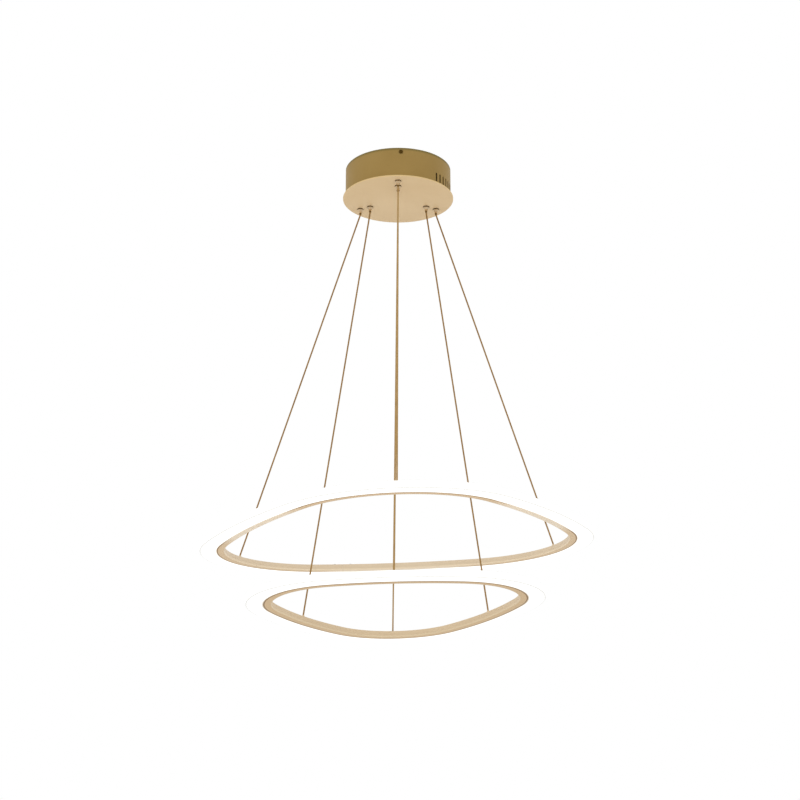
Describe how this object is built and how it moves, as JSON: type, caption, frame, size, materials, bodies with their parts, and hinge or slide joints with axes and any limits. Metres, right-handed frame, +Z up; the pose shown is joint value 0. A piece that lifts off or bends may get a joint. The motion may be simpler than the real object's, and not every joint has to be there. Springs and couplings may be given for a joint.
{
  "type": "pendant light",
  "caption": "Round ceiling canopy from which glowing rounded-triangle rings hang on thin adjustable cables.",
  "frame": {"origin": "centre of the ceiling face of the canopy, in the middle of the mounting slots", "axes": "+Z up, into the ceiling; the lamp hangs towards -Z; -Y is the side it is seen from in the picture, +X its right"},
  "size_m": [0.5205, 0.5034, 0.6228],
  "materials": {
    "drum_paint": "satin olive-gold paint on steel",
    "disc_paint": "satin champagne paint on steel",
    "zinc_plate": "zinc-plated pressed steel",
    "gold_screw": "gold-plated pan-head screws",
    "steel_fastener": "zinc-plated screws and nuts",
    "driver_case": "moulded white case",
    "terminal_plastic": "moulded natural nylon",
    "gripper_metal": "polished gold-plated brass",
    "gripper_nut_brass": "turned brass",
    "spring_steel": "stainless spring wire",
    "cable_jacket": "thin tan jacket on stranded wire",
    "bush_plastic": "moulded nylon bush",
    "ring_gold": "anodised light champagne gold",
    "opal_diffuser": "opal acrylic, lit from inside",
    "led_board": "white flexible board with white packages",
    "raw_aluminium": "mill finish",
    "grommet_rubber": "moulded rubber"
  },
  "bodies": {
    "canopy": {"ceiling_plate": "zinc_plate", "canopy_drum": "drum_paint", "canopy_disc": "disc_paint", "drum_screws": "gold_screw", "disc_nuts": "steel_fastener", "driver_large_ring": "driver_case", "driver_small_ring": "driver_case", "driver_screws": "steel_fastener", "terminal_block": "terminal_plastic", "terminal_screws": "steel_fastener", "earth_screw": "steel_fastener", "gripper_nuts": "gripper_nut_brass", "lead_bush": "bush_plastic", "cable_tails": "cable_jacket", "small_ring_lead": "cable_jacket", "large_grippers": "gripper_metal", "large_spring_front": "spring_steel", "large_cable_front": "cable_jacket", "large_spring_right": "spring_steel", "large_cable_right": "cable_jacket", "large_spring_left": "spring_steel", "large_cable_left": "cable_jacket", "small_grippers": "gripper_metal", "small_spring_front": "spring_steel", "small_cable_front": "cable_jacket", "small_spring_right": "spring_steel", "small_cable_right": "cable_jacket", "small_spring_left": "spring_steel", "small_cable_left": "cable_jacket"},
    "large_ring": {"large_ring_frame": "ring_gold", "large_ring_diffuser": "opal_diffuser", "large_led_strip": "led_board", "large_ring_joiner": "raw_aluminium", "large_joiner_screws": "steel_fastener", "large_ring_grommet": "grommet_rubber", "large_cable_anchors": "gripper_metal"},
    "large_release_front": {"large_plunger_front": "gripper_metal"},
    "large_release_right": {"large_plunger_right": "gripper_metal"},
    "large_release_left": {"large_plunger_left": "gripper_metal"},
    "small_ring": {"small_ring_frame": "ring_gold", "small_ring_diffuser": "opal_diffuser", "small_led_strip": "led_board", "small_ring_joiner": "raw_aluminium", "small_joiner_screws": "steel_fastener", "small_ring_grommet": "grommet_rubber", "small_cable_anchors": "gripper_metal"},
    "small_release_front": {"small_plunger_front": "gripper_metal"},
    "small_release_right": {"small_plunger_right": "gripper_metal"},
    "small_release_left": {"small_plunger_left": "gripper_metal"}
  },
  "joints": [
    {"name": "large_ring_lift", "type": "slide", "parent": "canopy", "child": "large_ring", "axis": [0, 0, 1], "range_m": [0, 0.25], "deforming": ["large_cable_front", "large_cable_right", "large_cable_left"]},
    {"name": "small_ring_lift", "type": "slide", "parent": "canopy", "child": "small_ring", "axis": [0, 0, 1], "range_m": [0, 0.06], "deforming": ["small_cable_front", "small_cable_right", "small_cable_left", "small_ring_lead"]},
    {"name": "large_release_front_press", "type": "slide", "parent": "canopy", "child": "large_release_front", "axis": [0, 0, 1], "range_m": [0, 0.002], "stiffness_N_per_m": 400, "springref_m": -0.004, "deforming": ["large_spring_front"]},
    {"name": "large_release_right_press", "type": "slide", "parent": "canopy", "child": "large_release_right", "axis": [0, 0, 1], "range_m": [0, 0.002], "stiffness_N_per_m": 400, "springref_m": -0.004, "deforming": ["large_spring_right"]},
    {"name": "large_release_left_press", "type": "slide", "parent": "canopy", "child": "large_release_left", "axis": [0, 0, 1], "range_m": [0, 0.002], "stiffness_N_per_m": 400, "springref_m": -0.004, "deforming": ["large_spring_left"]},
    {"name": "small_release_front_press", "type": "slide", "parent": "canopy", "child": "small_release_front", "axis": [0, 0, 1], "range_m": [0, 0.002], "stiffness_N_per_m": 400, "springref_m": -0.004, "deforming": ["small_spring_front"]},
    {"name": "small_release_right_press", "type": "slide", "parent": "canopy", "child": "small_release_right", "axis": [0, 0, 1], "range_m": [0, 0.002], "stiffness_N_per_m": 400, "springref_m": -0.004, "deforming": ["small_spring_right"]},
    {"name": "small_release_left_press", "type": "slide", "parent": "canopy", "child": "small_release_left", "axis": [0, 0, 1], "range_m": [0, 0.002], "stiffness_N_per_m": 400, "springref_m": -0.004, "deforming": ["small_spring_left"]}
  ]
}
